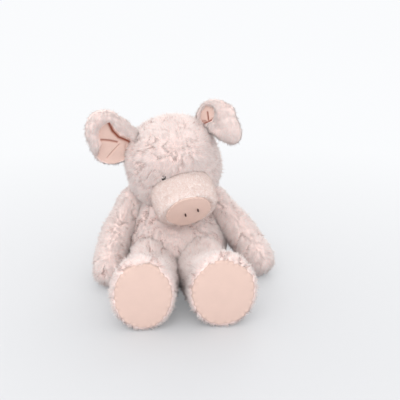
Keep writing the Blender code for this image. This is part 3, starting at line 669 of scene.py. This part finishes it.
@once
def cloth_finish(name):
    """The cloth under the pile, with the tufts' roots as a fine mottle, in the roots' colour that is painted
    shade deep in the pile.
    """
    finish = Finish(name, roughness=0.95, specular_ior_level=0.1)
    fine = finish.noise(1400.0, 3.0, 0.6)
    broad = finish.noise(160.0)
    whole = finish.mix((fine * 0.7 + broad * 0.5).clamped(), colour("root"), colour("tip", 0.98))
    return finish.feed(base_color=whole, normal=finish.bump(fine, 0.6, 0.0008))


@once
def short_finish(name):
    """The muzzle's cloth: a fine mottle of short roots, painted darker as shade deep in the pile, on a broad
    drift of tone.
    """
    finish = Finish(name, roughness=0.95, specular_ior_level=0.12, sheen_weight=0.3, sheen_roughness=0.5)
    fine = finish.noise(1800.0, 3.0, 0.6)
    tone = finish.mix(finish.noise(130.0, 3.0), colour("short", 0.94), colour("short", 1.04))
    whole = finish.mix((fine * 0.6).clamped(), tone, colour("short", 0.88))
    return finish.feed(base_color=whole, normal=finish.bump(fine, 0.35, 0.0004))


@once
def suede_finish(name, plain, fold_shade_colour):
    """Fine suede: a soft mottle where the nap lies two ways, a short grain, and folds painted darker as
    shade.
    """
    finish = Finish(name, roughness=0.9, specular_ior_level=0.2, sheen_weight=0.2, sheen_roughness=0.5)
    grain = finish.noise(2200.0, 2.0, 0.6)
    tone = finish.mix(finish.noise(55.0, 4.0, 0.55), colour(plain, 0.93), colour(plain, 1.07))
    tone = finish.mix((grain * 0.45).clamped(), tone, colour(plain, 0.84))
    deep = finish.add("Attribute", output="Fac", attribute_name="fold")
    return finish.feed(base_color=finish.mix(deep, tone, fold_shade_colour), normal=finish.bump(grain, 0.25, 0.0003))


@once
def thread_finish(name):
    """Dark twisted thread."""
    finish = Finish(name, roughness=0.45, specular_ior_level=0.5)
    strand = finish.noise(2600.0)
    tone = finish.mix(strand, colour("thread"), colour("thread", 2.4))
    return finish.feed(base_color=tone, normal=finish.bump(strand, 0.4, 0.0002))


@once
def eye_finish(name):
    """Polished black plastic with a faint cloud in it."""
    finish = Finish(name, roughness=0.12, coat_weight=0.6)
    return finish.feed(base_color=finish.mix(finish.noise(300.0), colour("eye"), colour("eye", 1.8)))


@once
def plain_finish(name, tone, roughness, scale, strength):
    """One tone, speckled and a little uneven."""
    finish = Finish(name, roughness=roughness, specular_ior_level=0.3)
    speck = finish.noise(scale, 3.0)
    whole = finish.mix(speck, shaded(tone, 0.9), shaded(tone, 1.05))
    return finish.feed(base_color=whole, normal=finish.bump(speck, strength, 0.0005))


# Pieces

class PIG_OT_stage(bpy.types.Operator):
    """Makes the floor, the soft light and the camera"""
    bl_idname = "pig.stage"
    bl_label = "Stage"

    def execute(self, context):
        look = context.scene.pig_stage
        context.scene.view_settings.view_transform = "Standard"
        self.floor(look)
        self.sky(context.scene, look)
        self.lamp("key", (-0.28, -1.08, 0.95), 1.2, look.key)
        self.lamp("back", (0.35, 0.95, 0.9), 1.0, look.key * 0.5)
        self.camera(context.scene)
        return {"FINISHED"}

    def floor(self, look):
        """A square floor that the camera sees turn into the backdrop, the further from the pig the more."""
        corners = np.array([[-3, -3, 0], [3, -3, 0], [3, 3, 0], [-3, 3, 0]], float)
        floor = mesh_object("floor", corners, [[0, 1, 2, 3]])
        finish = Finish("floor", base_color=(*look.floor, 1.0), roughness=0.9, specular_ior_level=0.1)
        ray = finish.add("LightPath", output="Is Camera Ray")
        glow = finish.add("Emission", {"Color": BACKDROP, "Strength": 1.0})
        place = finish.place()
        across = finish.add("SeparateXYZ", {0: place}, "X")
        forward = finish.add("SeparateXYZ", {0: place}, "Y") + 0.32
        away = (across * across + forward * forward) ** 0.5
        share = (away * 1.2).clamped() * 0.97
        lit = Wire(finish, finish.shader.outputs[0])
        both = finish.add("MixShader", {0: ray * share, 1: lit, 2: glow})
        finish.surface(both, "Material Output")
        floor.data.materials.append(finish.material)

    def sky(self, scene, look):
        """Even light from all round, in front of which the camera sees the backdrop."""
        scene.world = bpy.data.worlds.new("sky")
        scene.world.use_nodes = True
        sky = Nodes(scene.world.node_tree)
        ray = sky.add("LightPath", output="Is Camera Ray")
        seen = sky.add("Background", {"Color": BACKDROP, "Strength": 1.0})
        warm = (1.0, 0.975, 0.965, 1.0)
        light = sky.add("Background", {"Color": warm, "Strength": look.fill})
        sky.surface(sky.add("MixShader", {0: ray, 1: light, 2: seen}), "World Output")

    def lamp(self, name, at, size, power):
        """A round soft lamp that points at the pig's middle."""
        lamp = bpy.data.lights.new(name, "AREA")
        lamp.shape = "DISK"
        lamp.size = size
        lamp.energy = power
        made = linked(name, lamp)
        made.location = at
        made.rotation_euler = (Vector((0, -0.05, 0.08)) - Vector(at)).to_track_quat("-Z", "Y").to_euler()

    def camera(self, scene):
        """The photograph's view: 5 degrees from the front, 22.5 down, and 1.1 m from what it aims at, with
        a lens as long as 796 pixels of a frame 400 across."""
        azimuth, rise, away = math.radians(-5.0), math.radians(22.5), 1.1
        level = math.cos(rise)
        back = Vector((math.sin(azimuth) * level, -math.cos(azimuth) * level, math.sin(rise)))
        aim = Vector((math.cos(azimuth), math.sin(azimuth), 0.0)) * 0.038 + Vector((0, 0, 0.0855))
        eye = bpy.data.cameras.new("camera")
        eye.sensor_width = 36.0
        eye.lens = eye.sensor_width * 796.0 / 400.0
        made = linked("camera", eye)
        made.location = aim + back * away
        made.rotation_mode = "QUATERNION"
        made.rotation_quaternion = (-back).to_track_quat("-Z", "Y")
        scene.camera = made


class PIG_OT_body(bpy.types.Operator):
    """Makes the body's cloth and its pile"""
    bl_idname = "pig.body"
    bl_label = "Body"

    def execute(self, context):
        cloth = plush_cloth("body", BODY_RINGS, BODY, "torso", "seat_pellet_pouch")

        def keep(root):
            """Not inside the head, and not under the seat."""
            return ~inside(root, HEAD_RINGS, FACE, 0.016) & (root[:, 2] > 0.001)

        tufted("body", cloth, "torso", keep=keep)
        return {"FINISHED"}


class PIG_OT_head(bpy.types.Operator):
    """Makes the head's cloth and its pile"""
    bl_idname = "pig.head"
    bl_label = "Head"

    def execute(self, context):
        cloth = plush_cloth("head", HEAD_RINGS, FACE, "head")

        def keep(root):
            """Not inside the muzzle or the body, and not on the bare round about each eye."""
            kept = ~inside(root, MUZZLE_RINGS, MUZZLE, 0.006) & out_of_body(root)
            for side, radius in EYE_BARE.items():
                kept &= np.linalg.norm(root - EYE_AT[side], axis=1) >= radius
            return kept

        tufted("head", cloth, "head", lie=(0, 0.9, -0.6), keep=keep, parting_shade=0.42)
        return {"FINISHED"}


class PIG_OT_muzzle(bpy.types.Operator):
    """Makes the muzzle, the suede disc and the nostril stitches"""
    bl_idname = "pig.muzzle"
    bl_label = "Muzzle"

    def execute(self, context):
        cloth = plush_cloth("muzzle", MUZZLE_RINGS, MUZZLE, "head", finish=short_finish("short_plush"),
                            slot="short_plush", inset=0.0016, relief=0.0004)

        def keep(root):
            """Not under the disc, and not inside the head."""
            x, y, z = seen_from(root, MUZZLE).T
            on_disc = ((x / 0.03) ** 2 + (y / 0.024) ** 2 < 1) & (z < -0.035)
            return ~on_disc & ~inside(root, HEAD_RINGS, FACE, 0.004)

        tufted("muzzle", cloth, "head", short_pile(), "short_plush", context.scene.pig_pile.short_length,
               density=2.6, width=0.75, lie=FACE[:3, 1], lie_share=0.8, clump=0.009, keep=keep)

        front = turned_frame(MUZZLE_FRONT, parent=MUZZLE)
        suede_pad("snout_suede", front, *DISC, 0.003, 0.0016, 0.0005, 11, "head", "snout_disc")
        for side in SIDES:
            satin_stitch(f"nostril_thread_{side}", front, *NOSTRIL_AT[side], f"nostril_stitch_{side}")
        return {"FINISHED"}


def suede_pad(name, place, half_width, half_height, depth, rise, pucker, seed, body, node):
    """An oval of suede that bulges to -Z. At share s of the way to its edge and angle u its height is
    rise (1 - s^2), less a tuck of the cloth into the seam and the small gathers along it, which are two
    sine waves round the edge. Its outline wavers by a hundredth."""
    rows, columns = 70, 240
    s = 1 - (1 - np.linspace(0, 1, rows)) ** 1.5
    u = angles_round(columns)
    s, u = np.meshgrid(s, u, indexing="ij")
    wave = np.sin(23 * u + 1.3 * np.sin(3 * u + seed)) + 0.7 * np.sin(37 * u + 2 * np.sin(2 * u))
    edge = ease((s - 0.8) / 0.2)
    gathers = pucker * wave * edge * np.where(s < 0.995, 1.0, 0.4)
    tuck = depth * 0.9 * ease((s - 0.9) / 0.1) ** 2
    height = -rise * (1 - s**2) - gathers + tuck
    grow = 1 + 0.012 * np.sin(5 * u + seed) * s
    front = np.stack([half_width * s * np.cos(u) * grow, half_height * s * np.sin(u) * grow, height], axis=2)
    back = front[::-1][1:] * (0.985, 0.985, 1)
    back[..., 2] = depth
    local = np.concatenate([front, back])
    pinch(local)
    made = closed_grid(name, placed(local, place))
    # painted shade: the suede is painted darker (0.72 of its colour) at the seam's tuck and in the hollows of
    # the gathers
    mark_fold_shade(made, np.clip(ease((s - 0.93) / 0.07) * 0.8 + 0.35 * edge * np.clip(-wave, 0, 1), 0, 1))
    dress(made, suede_finish("suede_cloth", "suede", colour("suede", 0.72)), body, "suede", node)


def satin_stitch(name, place, x, y, node):
    """A short upright bar of satin stitch: threads side by side over a rounded pad. Across the bar the
    height is that of an ellipse, and along it a fine wave of one period for each thread."""
    half_width, half_length, rise, sunk, threads = 0.0011, 0.0029, 0.0008, -0.0024, 9
    rows, columns = 60, 24
    v = np.linspace(0, 1, rows)[:, None]
    u = angles_round(columns)
    along = np.cos(np.pi * v)
    round_off = np.sqrt(np.maximum(1 - along**2, 0)) ** 0.6
    thread = 1 + 0.08 * np.sin(2 * np.pi * threads * v) * round_off
    local = np.stack(np.broadcast_arrays(
        x + half_width * round_off * thread * np.cos(u),
        y + half_length * along,
        sunk + rise * round_off * thread * np.sin(u),
    ), axis=2)
    dress(closed_grid(name, placed(local, place)), thread_finish("nostril_thread"), "head", "thread", node)


class PIG_OT_eyes(bpy.types.Operator):
    """Makes the polished eyes and finishes the washers behind them"""
    bl_idname = "pig.eyes"
    bl_label = "Eyes"

    def execute(self, context):
        for side in SIDES:
            way = Vector(EYE_WAY[side])
            place = np.eye(4)
            place[:3, :3] = np.array(way.to_track_quat("Z", "Y").to_matrix())
            place[:3, 3] = np.array(EYE_AT[side]) - np.array(way) * EYE_SINK[side]
            made = closed_grid(f"eye_dome_{side}", lofted(EYE_RINGS, place, 64, 64))
            dress(made, eye_finish("eye_plastic"), "head", "eye", f"eye_{side}")
            washer = frame["nodes"][f"eye_washer_{side}"]
            washer.data.materials.clear()
            washer.data.materials.append(plain_finish("washer_plastic", (0.78, 0.78, 0.75), 0.45, 900.0, 0.1))
        return {"FINISHED"}


class PIG_OT_arms(bpy.types.Operator):
    """Makes the arms' cloth and pile"""
    bl_idname = "pig.arms"
    bl_label = "Arms"

    def execute(self, context):
        for side, way in SIDES.items():
            body = f"arm_{side}"
            cloth = plush_cloth(body, ARM_RINGS, ARM[side], body, way=way)
            tufted(body, cloth, body, lie=(0, 0.5, -0.8), keep=out_of_body)
        return {"FINISHED"}


class PIG_OT_legs(bpy.types.Operator):
    """Makes the legs' cloth and pile and the suede soles"""
    bl_idname = "pig.legs"
    bl_label = "Legs"

    def execute(self, context):
        for side, way in SIDES.items():
            body = f"leg_{side}"
            out, _, half_width = FOOT[side]
            cloth = plush_cloth(body, leg_rings(side), LEG[side], body, way=way)
            foot = turned_frame((way * (SOLE_AT[0] + out), *SOLE_AT[1:]), parent=LEG[side])

            def keep(root):
                """Not under the sole, and not inside the body."""
                x, y, z = seen_from(root, foot).T
                on_sole = ((x / (half_width - 0.0015)) ** 2 + (y / 0.0425) ** 2 < 1) & (z < 0.012)
                return ~on_sole & out_of_body(root)

            tufted(body, cloth, body, lie=(0, 0.8, -0.4), keep=keep)
            suede_pad(f"sole_{side}_suede", foot, half_width, SOLE_HALF_HEIGHT, 0.0035, 0.0026, 0.0006,
                      3 + way, body, f"sole_{side}")
        return {"FINISHED"}


# Ears: a plush rim rolled round a suede lining, drawn on the plane in which each ear lies. Points are
# (x, y) from the ear's root; facing is the way that the plane looks; bare is how many rows of the rim
# have no pile; each fold is a line, its width and its strength, by which the lining is pressed in and
# painted darker as shade.

EARS = {
    "right": {
        "facing": (0.25, -0.965, -0.15), "middle": (-0.02, 0.008),
        "roll": 0.008, "back": 0.0095, "bare": 4,
        "outline": tenths(
            (150, 100), (118, 265), (27, 350), (-137, 495), (-223, 574), (-384, 612), (-506, 575),
            (-571, 484), (-602, 264), (-556, 122), (-510, -19), (-454, -122), (-362, -185), (-138, -210),
            (-52, -180), (57, -149), (140, -30),
        ),
        "lining": tenths(
            (60, 80), (15, 110), (-138, 200), (-212, 291), (-262, 420), (-300, 400), (-394, 325), (-396, 184),
            (-368, 120), (-400, 40), (-440, -54), (-350, -150), (-243, -175), (-31, -172), (60, -100),
        ),
        "folds": (
            (tenths((-278, 400), (-224, 272), (-148, 178), (5, 90), (55, 72)), 0.0021, 1.0),
            (tenths((-385, 171), (-270, 140), (-167, 106)), 0.0014, 0.75),
            (tenths((-138, 71), (-220, -10), (-302, -103)), 0.001, 0.35),
            (tenths((-40, 100), (-60, 20), (-20, -150)), 0.0012, 0.22),
        ),
    },
    "left": {
        "facing": (-0.61, -0.77, 0.1), "middle": (0.001, 0.0225),
        "roll": 0.0115, "back": 0.0085, "bare": 0,
        "outline": tenths(
            (543, 68), (505, 161), (436, 276), (396, 390), (287, 436), (87, 463), (-65, 418), (-139, 355),
            (-173, 283), (-185, 83), (-115, -18), (27, -8), (162, -34), (243, -78), (329, -100), (466, -94),
            (521, -38),
        ),
        "lining": tenths(
            (106, 245), (122, 292), (95, 345), (30, 362), (-40, 345), (-95, 290), (-112, 240), (-100, 150),
            (-80, 105), (-34, 105), (20, 140), (66, 180),
        ),
        "folds": (
            (tenths((-22, 262), (-12, 210), (0, 160)), 0.0011, 0.9),
            (tenths((-60, 105), (5, 135), (66, 180)), 0.0014, 0.9),
            (tenths((-100, 130), (-50, 140), (-10, 125)), 0.0012, 0.5),
        ),
    },
}


def ear_place(side):
    """The ear's own frame: its root, with Z the way that it faces and X level."""
    facing = unit(np.array(EARS[side]["facing"]))
    level = unit(np.cross((0, 0, 1), facing))
    made = np.eye(4)
    made[:3, :3] = np.stack([level, np.cross(facing, level), facing], axis=1)
    made[:3, 3] = POINTS[f"ear_flap_{side}"]
    return made


def ray_lengths(loop, middle, angles):
    """How far a closed outline lies from its middle in each direction: straight between its points by
    angle, then softened over a few degrees."""
    from_middle = loop - middle
    theta = np.arctan2(from_middle[:, 1], from_middle[:, 0])
    order = np.argsort(theta)
    length = np.hypot(*from_middle[order].T)
    made = np.interp(angles, theta[order], length, period=2 * np.pi)
    reach = np.arange(-6, 7)
    weight = np.exp(-((reach / 3) ** 2))
    return sum(np.roll(made, k) * w for k, w in zip(reach, weight)) / weight.sum()


def fold_share(points, folds):
    """How deep each point lies in a fold: for every stretch of its line, the bell curve of the distance."""
    deep = np.zeros(points.shape[:-1])
    for line, width, strength in folds:
        for first, second in zip(line[:-1], line[1:]):
            way = second - first
            share = np.clip(((points - first) @ way) / (way @ way), 0, 1)
            gap = np.linalg.norm(points - first - share[..., None] * way, axis=-1)
            deep = np.maximum(deep, strength * np.exp(-((gap / width) ** 2)))
    return deep


def ear_forms(side):
    """The cover's and the lining's points in the ear's frame, how many rows of the cover lie under the
    lining, and how deep the lining's points lie in its folds.

    In each direction the cover runs over the dish under the lining, rises in a half round from the
    lining's edge to the ear's outline, and comes back behind as a shallow shell. The lining is the dish
    with its folds pressed in."""
    ear = EARS[side]
    middle = np.array(ear["middle"])
    columns = 240
    angles = angles_round(columns)
    outer = ray_lengths(ear["outline"], middle, angles) - 0.0024
    inner = np.minimum(ray_lengths(ear["lining"], middle, angles), outer - 0.0016)
    way = np.stack([np.cos(angles), np.sin(angles)], axis=1)
    dish = np.linspace(0, 1, 24)[:, None]
    rim = np.linspace(0, 1, 26)[1:, None]
    rear = np.linspace(1, 0, 24)[1:, None]
    width = outer - inner
    rise = np.minimum(ear["roll"], 0.55 * width)
    reach = np.concatenate([inner * dish, inner + width * (1 - (1 - rim) ** 1.3), outer * rear])
    level = np.ones(columns)
    lift = np.concatenate([
        -0.0055 * (1 - dish**6) * level, rise * np.sin(np.pi * rim**0.75),
        -ear["back"] * np.sqrt(np.maximum(1 - rear**2.4, 0)) * level,
    ])
    cover = np.concatenate([middle + reach[..., None] * way, lift[..., None]], axis=2)

    share = np.linspace(0, 1, 90)[:, None]
    spread = ((inner + 0.001) * share)[..., None] * way + middle
    deep = fold_share(spread, ear["folds"])
    flat = np.concatenate([spread, np.zeros_like(spread[..., :1])], axis=2)
    soft = 0.0007 * lattice_noise(flat.reshape(-1, 3), 0.012, 5).reshape(deep.shape)
    height = 0.001 - 0.0022 * (1 - share**2) + soft - 0.0026 * deep * (1 - share**6)
    front = np.concatenate([spread, height[..., None]], axis=2)
    back = front[::-1][1:] * (0.995, 0.995, 1)
    back[..., 2] -= 0.0009
    return cover, len(dish), np.concatenate([front, back]), deep


class PIG_OT_ears(bpy.types.Operator):
    """Makes the ears' plush backs and rolled rims and their suede linings"""
    bl_idname = "pig.ears"
    bl_label = "Ears"

    def execute(self, context):
        for side in SIDES:
            body = f"ear_{side}"
            place = ear_place(side)
            cover, dish_rows, lining, deep = ear_forms(side)
            for grid in (cover, lining):
                pinch(grid)
            points = placed(cover, place)
            made = closed_grid(f"{body}_plush", points)
            dress(made, cloth_finish("plush_cloth"), body, "plush", f"{body}_cover", fill=0.3)

            cells = np.ones((points.shape[0] - 1, points.shape[1]))
            cells[:dish_rows + EARS[side]["bare"]] = 0
            tufted(body, (points, outward_loop(points)), body, length=context.scene.pig_pile.length * 0.8,
                   density=1.3, lie=-place[:3, 1], cells=cells, parting_shade=0.15)

            suede = closed_grid(f"{body}_suede", placed(lining, place))
            # painted shade: the lining's folds are pressed in and also painted in the dark crease colour
            mark_fold_shade(suede, deep)
            finish = suede_finish("ear_suede_cloth", "ear", colour("crease_shade"))
            dress(suede, finish, body, "ear_suede", f"{body}_lining")
        return {"FINISHED"}


class PIG_OT_tail(bpy.types.Operator):
    """Makes the curled tail and its pile"""
    bl_idname = "pig.tail"
    bl_label = "Tail"

    def execute(self, context):
        points = self.curl()
        made = closed_grid("tail_plush", points)
        dress(made, cloth_finish("plush_cloth"), "tail", "plush", "tail", fill=0.8)
        tufted("tail", (points, outward_loop(points)), "tail", length=context.scene.pig_pile.length * 0.5,
               density=6, width=0.8, lie=(0, 1, 0))
        return {"FINISHED"}

    def curl(self):
        """A helix of 1.3 turns whose radius opens over its first part, with a round section that grows
        thinner to the tip and closes at both ends."""
        turns, opening, thickness = 1.3, 0.4, 0.0036
        rows, columns = 90, 40
        v = np.linspace(0, 1, rows)
        angle = 2 * np.pi * turns * v
        radius = 0.0085 * ease(v / opening)
        reach = 0.008 * np.minimum(1, v / opening) + 0.016 * v - 0.002
        spine = np.stack([radius * np.sin(angle), reach, radius * (1 - np.cos(angle))], axis=1)
        spine = spine + POINTS["tail_wag"]
        tangent = unit(np.gradient(spine, axis=0))
        side = unit(np.cross(tangent, (0, 0, 1)))
        up = np.cross(side, tangent)
        thick = thickness * (1 - 0.4 * v) * np.sqrt(np.clip(1 - (2 * np.abs(v - 0.5)) ** 24, 0, 1))
        u = angles_round(columns)[None, :, None]
        return spine[:, None] + thick[:, None, None] * (np.cos(u) * side[:, None] + np.sin(u) * up[:, None])


class PIG_OT_wads(bpy.types.Operator):
    """Makes the wads of stuffing that the neck and the arms turn on"""
    bl_idname = "pig.wads"
    bl_label = "Wads"

    def execute(self, context):
        """Each wad is a ball drawn out to its node's box, squared off a little, with lumps."""
        fibre = plain_finish("stuffing_fibre", (0.86, 0.86, 0.84), 0.95, 500.0, 0.8)
        v, u = np.meshgrid(np.linspace(0, np.pi, 40), angles_round(48), indexing="ij")
        ball = np.stack([np.sin(v) * np.cos(u), np.sin(v) * np.sin(u), np.cos(v)], axis=2)
        ball = np.sign(ball) * np.abs(ball) ** 0.75
        lumps = 1 + 0.05 * lattice_noise(ball.reshape(-1, 3), 0.45, 31).reshape(v.shape)
        for node, body in (("neck_wad", "neck"), ("shoulder_wad_left", "shoulder_left"),
                           ("shoulder_wad_right", "shoulder_right")):
            low, high = (np.array(corner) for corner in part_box(node))
            middle, half = (low + high) / 2, (high - low) / 2
            made = closed_grid(f"{node}_fibre", middle + ball * half * 0.9 * lumps[..., None])
            dress(made, fibre, body, "stuffing", node, fill=0.8)
        return {"FINISHED"}


OPERATORS = (PIG_OT_stage, PIG_OT_body, PIG_OT_head, PIG_OT_muzzle, PIG_OT_eyes, PIG_OT_arms, PIG_OT_legs,
             PIG_OT_ears, PIG_OT_tail, PIG_OT_wads)
GROUPS = {"pig_pile": PigPile, "pig_colours": PigColours, "pig_stage": PigStage}


class PIG_PT_panel(bpy.types.Panel):
    bl_idname = "PIG_PT_panel"
    bl_label = "Plush pig"
    bl_space_type = "VIEW_3D"
    bl_region_type = "UI"
    bl_category = "Plush pig"

    def draw(self, context):
        for name, group in GROUPS.items():
            box = self.layout.box()
            for key in group.__annotations__:
                box.prop(getattr(context.scene, name), key)
        for operator in OPERATORS:
            self.layout.operator(operator.bl_idname)


def register():
    for group in (*GROUPS.values(), *OPERATORS, PIG_PT_panel):
        bpy.utils.register_class(group)
    for name, group in GROUPS.items():
        setattr(bpy.types.Scene, name, PointerProperty(type=group))


def unregister():
    for name in GROUPS:
        delattr(bpy.types.Scene, name)
    for group in (PIG_PT_panel, *OPERATORS, *GROUPS.values()):
        bpy.utils.unregister_class(group)


def main():
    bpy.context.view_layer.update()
    register()
    for operator in OPERATORS:
        getattr(bpy.ops.pig, operator.bl_idname.removeprefix("pig."))()


if __name__ == "__main__":
    main()
